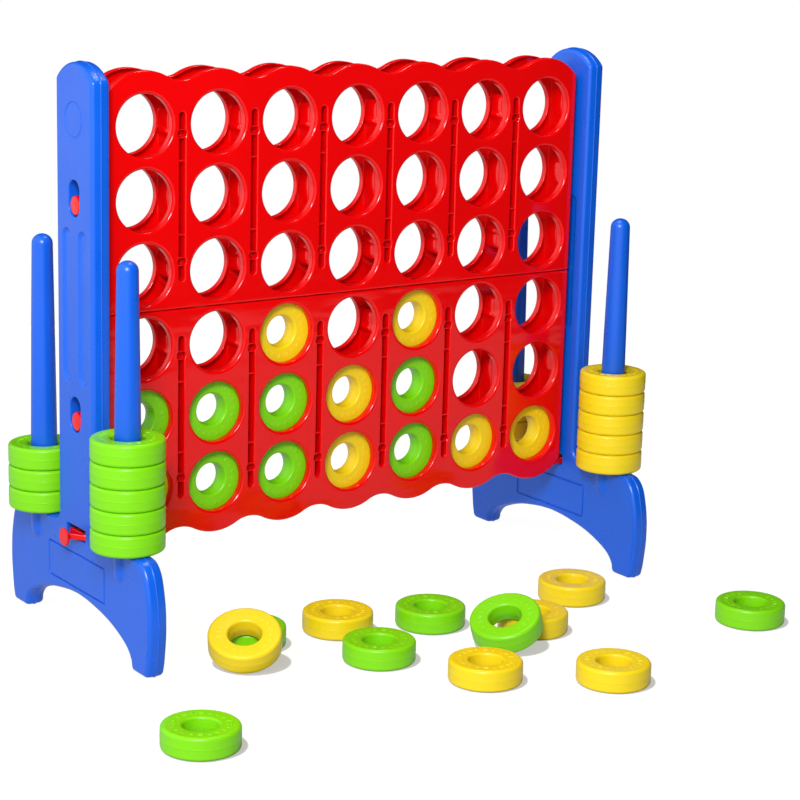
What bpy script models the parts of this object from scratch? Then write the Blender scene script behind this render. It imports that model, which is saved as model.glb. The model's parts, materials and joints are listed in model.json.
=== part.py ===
"""Giant four in a row: an upright board between two stands, with 42 rings, ring poles and a release slider.

Metres, +Z up. X runs along the board, -Y is the front. The floor is at Z = 0, and the origin is the middle
of the floor area that the whole set covers, loose rings included. Lengths below are measured from the
board's own middle, and one empty moves all of it to the origin.
"""

import math

import bmesh
import bpy
from mathutils import Matrix, Vector

# Clearances
GAP = 0.0003  # between pieces that touch
SOCKET_CLEARANCE = 0.0003  # round a spigot or a peg
SLIDER_CLEARANCE = 0.0030  # beside and above the slider

# Rings
RING_DIAMETER = 0.140
RING_THICKNESS = 0.0425
RING_BORE = 0.058
RING_EDGE = 0.007  # rounding of the outer edge
RING_BORE_FLARE = 0.013  # how far the bore opens out at each face
RING_SIDES = 12

# Board: four identical panels, two to a face
COLUMNS = 7
ROWS_PER_PANEL = 3
DIVIDER = 0.0130
COLUMN_PLAY = 0.0056  # spare width for a ring between two dividers
RING_PLAY = 0.0075  # spare depth for a ring between the front and the back panels
PANEL_THICKNESS = 0.016
HOLE_DIAMETER = 0.119
HOLE_SIDES = 12
SCALLOP_MARGIN = 0.0425  # from the outermost hole's edge to the scallop's top
VALLEY_DROP = 0.020  # from a scallop's top to the valley beside it
SEAM_HEIGHT = 0.633
SEAM = 0.0018  # gap between the upper and the lower panels
SIDE_WALL = 0.007
GROOVE_WIDTH = 0.007
GROOVE_DEPTH = 0.030
GROOVE_ABOVE_ROW = 0.021  # how far a divider runs past the outer row's centre
GROOVE_BELOW_ROW = 0.019  # how far it runs past the inner row's centre

# Board pegs, which carry the board on the stands
PEG_DIAMETER = 0.036
PEG_HEAD_LIP = 0.004  # how far the head stands out past the peg, all round
PEG_HEAD_THICKNESS = 0.003
PEG_SHOULDER_LIP = 0.006  # how far the shoulder stands out past the peg, all round
PEG_OFFSET = 0.205  # above and below the seam
PEG_INSET = 0.002  # how far the peg's end stays inside the stand's outer face
PEG_SIDES = 16

# Release slider
SLIDER_THICKNESS = 0.0112
SLIDER_RAIL = 0.0087
RUNG = 0.006
KNOB_DIAMETER = 0.036
KNOB_THICKNESS = 0.005
KNOB_REACH = 0.027  # knob's outer face to the stand's outer face
STEM = 0.012

# Stands
STAND_THICKNESS = 0.039
STAND_GAP = 0.009  # between the board's side and the stand
POST_DEPTH = 0.145
POST_TOP_RISE = 0.469  # post's top above the seam
POST_DOME = 0.026
POST_CORNER = 0.015
BASE_HEIGHT = 0.221
BASE_DEPTH = 0.576
BASE_FILLET = 0.020
BASE_CORNER = 0.040
BASE_TAPER = 0.012  # how much narrower the base is at its ends than at its bulge
BULGE_HEIGHT = 0.100
FOOT_WIDTH = 0.062
FOOT_CORNER = 0.012
ARCH_HEIGHT = 0.085
ARCH_CORNER = 0.034
EDGE_ROUNDING = 0.008
PEG_SLOT_PLAY = 0.006  # spare width round a peg
PEG_SLOT_RISE = 0.031  # spare height above a peg
RELEASE_SLOT_HEIGHT = 0.022
BOSS_DIAMETER = 0.052
BOSS_LENGTH = 0.074
ARC_STEPS = 5

# Ring poles
POLE_OFFSET = 0.170  # from the board's middle plane
POLE_HEIGHT = 0.540
POLE_BOTTOM_DIAMETER = 0.054
POLE_TOP_DIAMETER = 0.041
SPIGOT_DIAMETER = 0.032
SPIGOT_LENGTH = 0.050
SOCKET_FLOOR = 0.001  # room under the spigot
POLE_SIDES = 16

# Where the rings are. Board places are (column, row), with row 6 at the bottom.
GREEN_ON_BOARD = ((1, 5), (2, 6), (2, 5), (3, 6), (3, 5), (5, 6), (5, 5))
YELLOW_ON_BOARD = ((1, 6), (3, 4), (4, 6), (4, 5), (5, 4), (6, 6), (7, 6))
GREEN_ON_FLOOR = ((-0.174, -0.404), (0.030, -0.289), (0.600, -0.604), (-0.679, -0.601), (-0.338, -0.205))
YELLOW_ON_FLOOR = ((-0.147, -0.223), (0.382, -0.304), (-0.0685, -0.597), (0.132, -0.726), (0.185, -0.421))
FRONT_STACK = 5
REAR_STACK = 3
YELLOW_LEANS = {"on": (-0.338, -0.205), "towards": math.radians(53.5), "tilt": math.radians(24.4)}
GREEN_LEANS = {"on": (0.185, -0.421), "towards": math.radians(23.8), "tilt": math.radians(23.6)}

# Sizes that follow from the ones above
RING_RADIUS = RING_DIAMETER / 2
RING_HALF = RING_THICKNESS / 2
BOARD_DEPTH = RING_THICKNESS + RING_PLAY + 2 * PANEL_THICKNESS
PEG_HEAD = PEG_DIAMETER + 2 * PEG_HEAD_LIP
PEG_SHOULDER = PEG_DIAMETER + 2 * PEG_SHOULDER_LIP
PEG_SLOT_WIDTH = PEG_DIAMETER + PEG_SLOT_PLAY
PEG_SLOT_HEIGHT = PEG_DIAMETER + PEG_SLOT_RISE
COLUMN_PITCH = RING_DIAMETER + COLUMN_PLAY + DIVIDER
ROW_PITCH = RING_DIAMETER
HALF_BOARD = COLUMNS * COLUMN_PITCH / 2
OUTER_ROW = SEAM / 2 + (ROWS_PER_PANEL - 0.5) * ROW_PITCH  # outermost row's centre, from the seam
INNER_ROW = SEAM / 2 + 0.5 * ROW_PITCH
SCALLOP_RADIUS = HOLE_DIAMETER / 2 + SCALLOP_MARGIN
SCALLOP_TOP = OUTER_ROW + SCALLOP_RADIUS
SLIDER_TOP = SEAM_HEIGHT - OUTER_ROW - RING_RADIUS - GAP
SLIDER_BOTTOM = SLIDER_TOP - SLIDER_THICKNESS
SLIDER_HALF_WIDTH = BOARD_DEPTH / 2 - 0.0065
STAND_INNER = HALF_BOARD + STAND_GAP
STAND_OUTER = STAND_INNER + STAND_THICKNESS
STAND_MIDDLE = STAND_INNER + STAND_THICKNESS / 2
POST_TOP = SEAM_HEIGHT + POST_TOP_RISE

NAMES = {"red": (0.75, 0.01, 0.01), "blue": (0.03, 0.14, 0.72), "green": (0.22, 0.70, 0.03), "yellow": (0.87, 0.66, 0.03)}


def clear_scene():
    """Removes the objects of the startup scene."""
    for obj in list(bpy.data.objects):
        bpy.data.objects.remove(obj, do_unlink=True)


def collection(name):
    """A collection of this name, linked to the scene."""
    group = bpy.data.collections.new(name)
    bpy.context.scene.collection.children.link(group)
    return group


def plastic(colour, name):
    """A glossy moulded plastic for one sub-part."""
    material = bpy.data.materials.new(name)
    material.use_nodes = True
    shader = material.node_tree.nodes["Principled BSDF"]
    shader.inputs["Base Color"].default_value = (*NAMES[colour], 1.0)
    shader.inputs["Roughness"].default_value = 0.25
    shader.inputs["Metallic"].default_value = 0.0
    return material


def arc(centre, radius, start, end, steps):
    """Points on a circle from one angle to another, in degrees, both ends included."""
    points = []
    for step in range(steps + 1):
        angle = math.radians(start + (end - start) * step / steps)
        points.append((centre[0] + radius * math.cos(angle), centre[1] + radius * math.sin(angle)))
    return points


def arc_through(first, middle, last, steps):
    """Points on the circle through three points, both ends included."""
    ax, ay = middle[0] - first[0], middle[1] - first[1]
    bx, by = last[0] - first[0], last[1] - first[1]
    cross = 2 * (ax * by - ay * bx)
    square_a, square_b = ax * ax + ay * ay, bx * bx + by * by
    centre = (first[0] + (by * square_a - ay * square_b) / cross, first[1] + (ax * square_b - bx * square_a) / cross)
    start = math.degrees(math.atan2(first[1] - centre[1], first[0] - centre[0]))
    end = math.degrees(math.atan2(last[1] - centre[1], last[0] - centre[0]))
    if cross > 0 and end < start:
        end += 360
    if cross < 0 and end > start:
        end -= 360
    return arc(centre, math.dist(first, centre), start, end, steps)


def circle(centre, radius, sides):
    """The corners of a regular outline that a circle of this radius just fits inside."""
    return arc(centre, radius / math.cos(math.pi / sides), 0, 360, sides)[:-1]


def rectangle(low, high):
    return [(low[0], low[1]), (high[0], low[1]), (high[0], high[1]), (low[0], high[1])]


def obround(centre_x, low, high, width, steps=4):
    """An upright slot outline that a slot with round ends just fits inside."""
    radius = width / 2
    corner = radius / math.cos(math.pi / 2 / steps)
    top = arc((centre_x, high - radius), corner, 90 / steps, 180 - 90 / steps, steps - 1)
    bottom = arc((centre_x, low + radius), corner, 180 + 90 / steps, 360 - 90 / steps, steps - 1)
    return top + bottom


def flat_mesh(name, outlines, thickness):
    """A closed mesh of flat outlines, centred on the XY plane; an outline inside another is a hole."""
    curve = bpy.data.curves.new(name, "CURVE")
    curve.dimensions = "2D"
    curve.fill_mode = "BOTH"
    curve.extrude = thickness / 2
    for outline in outlines:
        spline = curve.splines.new("POLY")
        spline.points.add(len(outline) - 1)
        for point, (x, y) in zip(spline.points, outline):
            point.co = (x, y, 0, 1)
        spline.use_cyclic_u = True
    holder = bpy.data.objects.new(name, curve)
    bpy.context.scene.collection.objects.link(holder)
    bpy.context.view_layer.update()
    mesh = bpy.data.meshes.new_from_object(holder.evaluated_get(bpy.context.evaluated_depsgraph_get()))
    bpy.data.objects.remove(holder, do_unlink=True)
    work = bmesh.new()
    work.from_mesh(mesh)
    bmesh.ops.remove_doubles(work, verts=work.verts, dist=0.00001)
    bmesh.ops.recalc_face_normals(work, faces=work.faces)
    work.to_mesh(mesh)
    work.free()
    mesh.name = name
    return mesh


def turned_mesh(name, profile, sides):
    """A solid of revolution about Z. The profile is (radius, height) from the top of the outside downwards."""
    mesh = bpy.data.meshes.new(name)
    work = bmesh.new()
    corners = [work.verts.new((radius, 0, height)) for radius, height in profile]
    closed = profile[0][0] > 0
    for index in range(len(corners) - (0 if closed else 1)):
        work.edges.new((corners[index], corners[(index + 1) % len(corners)]))
    work.to_mesh(mesh)
    work.free()
    holder = bpy.data.objects.new(name, mesh)
    bpy.context.scene.collection.objects.link(holder)
    screw = holder.modifiers.new("turn", "SCREW")
    screw.steps = sides
    screw.render_steps = sides
    screw.use_merge_vertices = True
    screw.merge_threshold = 0.0001
    bpy.context.view_layer.update()
    result = bpy.data.meshes.new_from_object(holder.evaluated_get(bpy.context.evaluated_depsgraph_get()))
    bpy.data.objects.remove(holder, do_unlink=True)
    work = bmesh.new()
    work.from_mesh(result)
    bmesh.ops.remove_doubles(work, verts=work.verts, dist=0.00001)
    bmesh.ops.recalc_face_normals(work, faces=work.faces)
    work.to_mesh(result)
    work.free()
    result.name = name
    return result


def moved(mesh, matrix):
    """The same mesh after a rotation or a shift, with its faces still pointing out."""
    mesh.transform(matrix)
    if matrix.determinant() < 0:
        mesh.flip_normals()
    return mesh


def helper(mesh, group):
    """An object that only cuts or joins: it isn't rendered and isn't a sub-part."""
    obj = bpy.data.objects.new(mesh.name, mesh)
    group.objects.link(obj)
    obj.hide_render = True
    obj.display_type = "WIRE"
    return obj


def combine(mesh, steps, group, bevel=0.0):
    """The mesh with its edges rounded, then joined with or cut by each (operation, mesh) in turn."""
    holder = bpy.data.objects.new(mesh.name, mesh)
    bpy.context.scene.collection.objects.link(holder)
    if bevel:
        rounding = holder.modifiers.new("edges", "BEVEL")
        rounding.width = bevel
        rounding.segments = 1
        rounding.limit_method = "ANGLE"
        rounding.angle_limit = math.radians(60)
    for operation, other in steps:
        boolean = holder.modifiers.new(operation.lower(), "BOOLEAN")
        boolean.operation = operation
        boolean.solver = "EXACT"
        boolean.object = helper(other, group)
    bpy.context.view_layer.update()
    result = bpy.data.meshes.new_from_object(holder.evaluated_get(bpy.context.evaluated_depsgraph_get()))
    bpy.data.objects.remove(holder, do_unlink=True)
    return result


def scallop_edge():
    """The panel's wavy outer edge, from right to left: arcs round the outer row's holes, joined by hollows."""
    half = COLUMN_PITCH / 2
    hollow = (half**2 - 2 * SCALLOP_RADIUS * VALLEY_DROP + VALLEY_DROP**2) / (2 * VALLEY_DROP)
    lean = math.degrees(math.asin(half / (SCALLOP_RADIUS + hollow)))
    end = math.degrees(math.asin(half / SCALLOP_RADIUS))
    hollow_height = OUTER_ROW + (SCALLOP_RADIUS + hollow) * math.cos(math.radians(lean))
    points = []
    for column in reversed(range(COLUMNS)):
        x = (column - (COLUMNS - 1) / 2) * COLUMN_PITCH
        right = end if column == COLUMNS - 1 else lean
        left = end if column == 0 else lean
        points += arc((x, OUTER_ROW), SCALLOP_RADIUS, 90 - right, 90 + left, ARC_STEPS)
        if column:
            points += arc((x - half, hollow_height), hollow, 270 + lean, 270 - lean, 4)[1:-1]
    return points


def panel_mesh(cutters):
    """One board panel: the front upper one, with its seam edge at Z = 0 and the board's middle plane at Y = 0."""
    upright = Matrix.Rotation(math.radians(90), 4, "X")
    face = -BOARD_DEPTH / 2
    outline = [(-HALF_BOARD, SEAM / 2), (HALF_BOARD, SEAM / 2)] + scallop_edge()
    holes, dividers, grooves = [], [], []
    low, high = INNER_ROW - GROOVE_BELOW_ROW, OUTER_ROW + GROOVE_ABOVE_ROW
    wall = (DIVIDER - GROOVE_WIDTH) / 2
    for column in range(COLUMNS):
        x = (column - (COLUMNS - 1) / 2) * COLUMN_PITCH
        for row in range(ROWS_PER_PANEL):
            holes.append(circle((x, INNER_ROW + row * ROW_PITCH), HOLE_DIAMETER / 2, HOLE_SIDES))
        if column:
            edge = x - COLUMN_PITCH / 2
            dividers.append(obround(edge, low - wall, high + wall, DIVIDER, 2))
            grooves.append(obround(edge, low, high, GROOVE_WIDTH, 2))
    plate = flat_mesh("panel", [outline] + holes, PANEL_THICKNESS)
    moved(plate, Matrix.Translation((0, face + PANEL_THICKNESS / 2, 0)) @ upright)
    reach = -face - GAP / 2
    divider = flat_mesh("dividers", dividers, reach - PANEL_THICKNESS / 2)
    moved(divider, Matrix.Translation((0, (face + PANEL_THICKNESS / 2 - GAP / 2) / 2, 0)) @ upright)
    groove = flat_mesh("grooves", grooves, 2 * GROOVE_DEPTH)
    moved(groove, Matrix.Translation((0, face, 0)) @ upright)
    side_top = OUTER_ROW + math.sqrt(SCALLOP_RADIUS**2 - (COLUMN_PITCH / 2) ** 2) - SIDE_WALL / 2
    sides = []
    for sign in (-1, 1):
        ends = sorted((sign * HALF_BOARD, sign * (HALF_BOARD - SIDE_WALL)))
        sides.append(rectangle((ends[0], SEAM / 2), (ends[1], side_top)))
    side = flat_mesh("side_walls", sides, reach - PANEL_THICKNESS / 2)
    moved(side, Matrix.Translation((0, (face + PANEL_THICKNESS / 2 - GAP / 2) / 2, 0)) @ upright)
    steps = [("UNION", divider), ("UNION", side), ("DIFFERENCE", groove), ("DIFFERENCE", slider_channel())]
    steps += [("DIFFERENCE", cut) for cut in peg_cuts()]
    return combine(plate, steps, cutters)


def slider_channel():
    """The groove in a panel's inner face that the slider's rail runs in."""
    top = SEAM_HEIGHT - SLIDER_TOP - SLIDER_CLEARANCE
    bottom = SEAM_HEIGHT - SLIDER_BOTTOM + GAP
    depth = 2 * (SLIDER_HALF_WIDTH + SLIDER_CLEARANCE)
    bar = flat_mesh("slider_channel", [rectangle((-HALF_BOARD - 0.01, top), (HALF_BOARD + 0.01, bottom))], depth)
    return moved(bar, Matrix.Rotation(math.radians(90), 4, "X"))


def peg_cuts():
    """The seats for the board pegs in both side walls: a hole through, and a wider pocket for the head."""
    cuts = []
    across = Matrix.Rotation(math.radians(90), 4, "Y")
    for sign in (-1, 1):
        pocket_depth = PEG_HEAD_THICKNESS + GAP
        inner = HALF_BOARD - SIDE_WALL
        for radius, start, length in (
            (PEG_DIAMETER / 2 + SOCKET_CLEARANCE, inner - 0.001, SIDE_WALL + 0.002),
            (PEG_HEAD / 2 + SOCKET_CLEARANCE, inner - 0.001, pocket_depth + 0.001),
        ):
            hole = flat_mesh("peg_seat", [circle((0, 0), radius, PEG_SIDES)], length)
            place = Matrix.Translation((sign * (start + length / 2), 0, PEG_OFFSET))
            cuts.append(moved(hole, place @ across))
    return cuts


def stand_outline():
    """The stand seen from the side, as (depth, height), going round anticlockwise from the rear foot."""
    half_post, half_base = POST_DEPTH / 2, BASE_DEPTH / 2
    inner = half_base - BASE_TAPER / 2 - FOOT_WIDTH
    end = half_base - BASE_TAPER
    arch_radius = ARCH_CORNER
    foot = arc((end - FOOT_CORNER, FOOT_CORNER), FOOT_CORNER, 270, 345, 3)
    shoulder = arc((end - BASE_CORNER, BASE_HEIGHT - BASE_CORNER), BASE_CORNER, 15, 90, ARC_STEPS)
    side = arc_through(foot[-1], (half_base, BULGE_HEIGHT), shoulder[0], ARC_STEPS)
    fillet = arc((half_post + BASE_FILLET, BASE_HEIGHT + BASE_FILLET), BASE_FILLET, 270, 180, 3)
    corner = arc((half_post - POST_CORNER, POST_TOP - POST_DOME - POST_CORNER), POST_CORNER, 0, 50, 3)
    dome = arc_through(corner[-1], (0, POST_TOP), (-corner[-1][0], corner[-1][1]), 8)
    arch = arc_through(
        (0, ARCH_HEIGHT), (inner * 0.45, ARCH_HEIGHT * 0.875), (inner - arch_radius * 0.7, ARCH_CORNER * 1.25), 4
    )
    turn = arc((inner - arch_radius, FOOT_CORNER), arch_radius, 50, 0, 3)
    bottom = arc((inner + FOOT_CORNER * 0.7, FOOT_CORNER * 0.7), FOOT_CORNER * 0.7, 180, 270, 3)
    half = arch + turn + bottom + foot + side[1:-1] + shoulder + fillet + corner
    rear = [(depth, height) for depth, height in half]
    front = [(-depth, height) for depth, height in reversed(half[1:])]
    return rear + dome[1:-1] + front


def boss_mesh(side):
    """The round boss that stands proud of the base's faces round one pole's socket."""
    radius = BOSS_DIAMETER / 2
    top = BASE_HEIGHT - EDGE_ROUNDING * 0.6
    low = BASE_HEIGHT - BOSS_LENGTH
    profile = [(0, top), (radius - 0.002, top), (radius, top - 0.003)]
    profile += [(radius * math.cos(angle), low - radius * math.sin(angle)) for angle in (0, 0.45, 0.9)] + [(0, low - radius)]
    mesh = turned_mesh("boss", profile, POLE_SIDES)
    return moved(mesh, Matrix.Translation((0, side * POLE_OFFSET, 0)))


def socket_mesh(side):
    """The hole in the base's top that a pole's spigot goes into."""
    depth = SPIGOT_LENGTH + SOCKET_FLOOR
    hole = flat_mesh("socket", [circle((0, 0), SPIGOT_DIAMETER / 2 + SOCKET_CLEARANCE, POLE_SIDES)], depth + 0.01)
    return moved(hole, Matrix.Translation((0, side * POLE_OFFSET, BASE_HEIGHT - depth + (depth + 0.01) / 2)))


def stand_mesh(cutters):
    """One stand, with its middle plane at X = 0: a post on a base with two feet, slotted for pegs and slider."""
    on_side = Matrix.Rotation(math.radians(90), 4, "Z") @ Matrix.Rotation(math.radians(90), 4, "X")
    body = moved(flat_mesh("stand", [stand_outline()], STAND_THICKNESS), on_side)
    slots = []
    for sign in (-1, 1):
        low = SEAM_HEIGHT + sign * PEG_OFFSET - PEG_DIAMETER / 2 / math.cos(math.pi / PEG_SIDES) - GAP
        slots.append(obround(0, low, low + PEG_SLOT_HEIGHT, PEG_SLOT_WIDTH, 8))
    half = SLIDER_HALF_WIDTH + SLIDER_CLEARANCE
    release = rectangle((-half, SLIDER_BOTTOM - GAP), (half, SLIDER_BOTTOM - GAP + RELEASE_SLOT_HEIGHT))
    cut = moved(flat_mesh("slots", slots + [release], STAND_THICKNESS + 0.01), on_side)
    steps = [("UNION", boss_mesh(side)) for side in (-1, 1)]
    steps += [("DIFFERENCE", socket_mesh(side)) for side in (-1, 1)]
    return combine(body, steps + [("DIFFERENCE", cut)], cutters, EDGE_ROUNDING)


def pole_mesh():
    """A tapered ring pole with a round top and a spigot under it; Z = 0 is the base's top."""
    bottom, top = POLE_BOTTOM_DIAMETER / 2, POLE_TOP_DIAMETER / 2
    dome = POLE_HEIGHT - top
    profile = [(0, POLE_HEIGHT)]
    profile += [(top * math.sin(angle), dome + top * math.cos(angle)) for angle in (0.45, 0.9, 1.3)]
    profile += [(top, dome), (bottom, GAP), (SPIGOT_DIAMETER / 2, GAP)]
    profile += [(SPIGOT_DIAMETER / 2, -SPIGOT_LENGTH), (0, -SPIGOT_LENGTH)]
    return turned_mesh("ring_pole", profile, POLE_SIDES)


def peg_mesh():
    """A board peg along +X, from its head at the board's side wall to its end in the stand's slot."""
    inner = HALF_BOARD - SIDE_WALL
    seat = inner + PEG_HEAD_THICKNESS
    profile = [(0, STAND_OUTER - PEG_INSET), (PEG_DIAMETER / 2 - 0.001, STAND_OUTER - PEG_INSET)]
    profile += [(PEG_DIAMETER / 2, STAND_OUTER - PEG_INSET - 0.001), (PEG_DIAMETER / 2, STAND_INNER - GAP)]
    profile += [(PEG_SHOULDER / 2, STAND_INNER - GAP), (PEG_SHOULDER / 2, HALF_BOARD + GAP)]
    profile += [(PEG_DIAMETER / 2, HALF_BOARD + GAP), (PEG_DIAMETER / 2, seat)]
    profile += [(PEG_HEAD / 2, seat), (PEG_HEAD / 2, inner), (0, inner)]
    mesh = turned_mesh("board_peg", profile, PEG_SIDES)
    return moved(mesh, Matrix.Rotation(math.radians(90), 4, "Y"))


def slider_mesh(cutters):
    """The ladder that holds the rings up: two rails with a rung under each column, a yoke and a round knob."""
    half = SLIDER_HALF_WIDTH
    far_end = STAND_OUTER - PEG_INSET
    shoulder = -STAND_OUTER + 0.006
    neck = -STAND_OUTER - KNOB_REACH + KNOB_THICKNESS / 2
    outline = [(far_end, -half), (far_end, half), (shoulder, half), (neck + STEM, STEM / 2), (neck, STEM / 2)]
    outline += [(neck, -STEM / 2), (neck + STEM, -STEM / 2), (shoulder, -half)]
    openings = []
    edges = [-HALF_BOARD - COLUMN_PITCH / 2 + SLIDER_RAIL]
    for column in range(COLUMNS):
        x = (column - (COLUMNS - 1) / 2) * COLUMN_PITCH
        edges += [x - RUNG / 2, x + RUNG / 2]
    edges[0] = shoulder + RUNG
    edges.append(far_end - SLIDER_RAIL)
    inside = half - SLIDER_RAIL
    for low, high in zip(edges[::2], edges[1::2]):
        openings.append(rectangle((low, -inside), (high, inside)))
    yoke = [(shoulder, inside), (neck + STEM + SLIDER_RAIL, STEM / 4), (neck + STEM + SLIDER_RAIL, -STEM / 4), (shoulder, -inside)]
    openings.append(yoke)
    ladder = flat_mesh("release_slider", [outline] + openings, SLIDER_THICKNESS)
    knob = flat_mesh("knob", [circle((0, 0), KNOB_DIAMETER / 2, PEG_SIDES)], KNOB_THICKNESS)
    place = Matrix.Translation((-STAND_OUTER - KNOB_REACH + KNOB_THICKNESS / 2, 0, 0))
    moved(knob, place @ Matrix.Rotation(math.radians(90), 4, "Y"))
    return combine(ladder, [("UNION", knob)], cutters)


def ring_mesh():
    """A ring about Z, with rounded outer edges and a bore that opens out at both faces."""
    bore = RING_BORE / 2 / math.cos(math.pi / RING_SIDES)
    mouth = (RING_BORE / 2 + RING_BORE_FLARE) / math.cos(math.pi / RING_SIDES)
    profile = [(RING_RADIUS - RING_EDGE, RING_HALF), (RING_RADIUS, RING_HALF - RING_EDGE)]
    profile += [(RING_RADIUS, RING_EDGE - RING_HALF), (RING_RADIUS - RING_EDGE, -RING_HALF)]
    profile += [(mouth, -RING_HALF), (bore, 0), (mouth, RING_HALF)]
    return turned_mesh("ring", profile, RING_SIDES)


def leaning(lean):
    """Where a ring lies that has one edge on the floor and its underside on another ring's edge."""
    tilt, edge = lean["tilt"], RING_EDGE
    height = (RING_RADIUS - edge) * math.sin(tilt) + (RING_HALF - edge) * math.cos(tilt) + edge
    underside = height - RING_HALF * math.cos(tilt)
    contact = RING_THICKNESS - edge + (edge + 2 * GAP) / math.cos(tilt)
    along = RING_HALF * math.sin(tilt) + (contact - underside) / math.tan(tilt)
    distance = along - edge + RING_RADIUS
    x = lean["on"][0] - distance * math.cos(lean["towards"])
    y = lean["on"][1] - distance * math.sin(lean["towards"])
    axis = Vector((math.sin(lean["towards"]), -math.cos(lean["towards"]), 0))
    return Matrix.Translation((x, y, height + GAP)) @ Matrix.Rotation(tilt, 4, axis)


def ring_places():
    """Each ring's colour and place, in the order of their numbers: board, poles, floor."""
    places = []
    upright = Matrix.Rotation(math.radians(90), 4, "X")
    step = RING_THICKNESS + GAP
    for colour, board, floor, side, lean in (
        ("green", GREEN_ON_BOARD, GREEN_ON_FLOOR, -1, GREEN_LEANS),
        ("yellow", YELLOW_ON_BOARD, YELLOW_ON_FLOOR, 1, YELLOW_LEANS),
    ):
        for column, row in board:
            x = (column - (COLUMNS + 1) / 2) * COLUMN_PITCH
            z = SLIDER_TOP + GAP + RING_RADIUS + (2 * ROWS_PER_PANEL - row) * (RING_DIAMETER + GAP)
            places.append((colour, Matrix.Translation((x, 0, z)) @ upright))
        for end, count in ((-1, FRONT_STACK), (1, REAR_STACK)):
            for level in range(count):
                z = BASE_HEIGHT + GAP + RING_HALF + level * step
                places.append((colour, Matrix.Translation((side * STAND_MIDDLE, end * POLE_OFFSET, z))))
        for x, y in floor:
            places.append((colour, Matrix.Translation((x, y, RING_HALF))))
        places.append((colour, leaning(lean)))
    return places


def footprint_middle(places):
    """The middle of the floor area that the stands, the knob and the loose rings cover."""
    xs = [-STAND_OUTER - KNOB_REACH, STAND_OUTER]
    ys = [-BASE_DEPTH / 2, BASE_DEPTH / 2]
    for _, place in places:
        reach = RING_RADIUS
        xs += [place.translation.x - reach, place.translation.x + reach]
        ys += [place.translation.y - reach, place.translation.y + reach]
    return (min(xs) + max(xs)) / 2, (min(ys) + max(ys)) / 2


def build():
    clear_scene()
    parts = collection("giant_four_in_a_row")
    cutters = collection("cutters")
    places = ring_places()
    middle = footprint_middle(places)
    origin = bpy.data.objects.new("board_middle", None)
    origin.location = (-middle[0], -middle[1], 0)
    parts.objects.link(origin)

    def add(name, mesh, colour, place):
        obj = bpy.data.objects.new(name, mesh)
        parts.objects.link(obj)
        obj.parent = origin
        obj.location = place.to_translation()
        obj.rotation_euler = place.to_euler()
        if not mesh.materials:
            mesh.materials.append(None)
        obj.material_slots[0].link = "OBJECT"
        obj.material_slots[0].material = plastic(colour, name)
        mesh.shade_smooth()
        mesh.set_sharp_from_angle(angle=math.radians(30))

    stand = stand_mesh(cutters)
    panel = panel_mesh(cutters)
    pole, peg, ring, slider = pole_mesh(), peg_mesh(), ring_mesh(), slider_mesh(cutters)
    for side, sign in (("left", -1), ("right", 1)):
        turn = Matrix.Rotation(0 if sign > 0 else math.pi, 4, "Z")
        add(f"stand_{side}", stand, "blue", Matrix.Translation((sign * STAND_MIDDLE, 0, 0)) @ turn)
        for end, depth in (("front", -1), ("rear", 1)):
            place = Matrix.Translation((sign * STAND_MIDDLE, depth * POLE_OFFSET, BASE_HEIGHT))
            add(f"ring_pole_{side}_{end}", pole, "blue", place)
        for level, rise in (("upper", 1), ("lower", -1)):
            place = Matrix.Translation((0, 0, SEAM_HEIGHT + rise * PEG_OFFSET)) @ turn
            add(f"board_peg_{side}_{level}", peg, "red", place)
    seam = Matrix.Translation((0, 0, SEAM_HEIGHT))
    add("panel_front_upper", panel, "red", seam)
    add("panel_front_lower", panel, "red", seam @ Matrix.Rotation(math.pi, 4, "Y"))
    add("panel_back_upper", panel, "red", seam @ Matrix.Rotation(math.pi, 4, "Z"))
    add("panel_back_lower", panel, "red", seam @ Matrix.Rotation(math.pi, 4, "X"))
    add("release_slider", slider, "red", Matrix.Translation((0, 0, (SLIDER_TOP + SLIDER_BOTTOM) / 2)))
    counts = {"green": 0, "yellow": 0}
    for colour, place in places:
        counts[colour] += 1
        add(f"ring_{colour}_{counts[colour]:02d}", ring, colour, place)


build()
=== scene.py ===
"""Giant four in a row: the looks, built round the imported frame.

Metres, in the row frame: X runs along the board, -Y is the front, and the floor is at Z = 0. Each piece is a
mesh with its own smooth normals, made in the piece's own axes and placed where its CAD node is.
"""

import json
import math

import bpy
import numpy as np
from mathutils import Matrix, Vector
from mathutils.geometry import delaunay_2d_cdt

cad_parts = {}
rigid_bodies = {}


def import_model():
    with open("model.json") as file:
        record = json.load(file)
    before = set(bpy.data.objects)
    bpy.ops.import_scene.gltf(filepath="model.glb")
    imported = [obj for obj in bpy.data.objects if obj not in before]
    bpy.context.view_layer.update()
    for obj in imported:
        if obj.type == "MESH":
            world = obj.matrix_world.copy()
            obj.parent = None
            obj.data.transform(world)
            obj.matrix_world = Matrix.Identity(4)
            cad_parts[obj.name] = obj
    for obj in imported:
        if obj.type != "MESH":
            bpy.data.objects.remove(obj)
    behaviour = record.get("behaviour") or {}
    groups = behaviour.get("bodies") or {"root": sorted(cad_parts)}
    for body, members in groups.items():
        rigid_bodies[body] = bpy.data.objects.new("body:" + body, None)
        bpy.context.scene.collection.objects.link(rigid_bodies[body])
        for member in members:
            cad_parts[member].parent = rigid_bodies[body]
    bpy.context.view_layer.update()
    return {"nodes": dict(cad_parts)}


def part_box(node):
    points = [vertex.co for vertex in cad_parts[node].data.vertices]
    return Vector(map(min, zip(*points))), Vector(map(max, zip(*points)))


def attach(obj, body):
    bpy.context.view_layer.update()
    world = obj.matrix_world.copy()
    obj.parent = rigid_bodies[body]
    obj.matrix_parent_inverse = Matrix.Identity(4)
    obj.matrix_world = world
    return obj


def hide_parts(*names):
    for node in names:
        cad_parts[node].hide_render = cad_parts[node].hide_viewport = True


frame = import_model()

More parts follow.
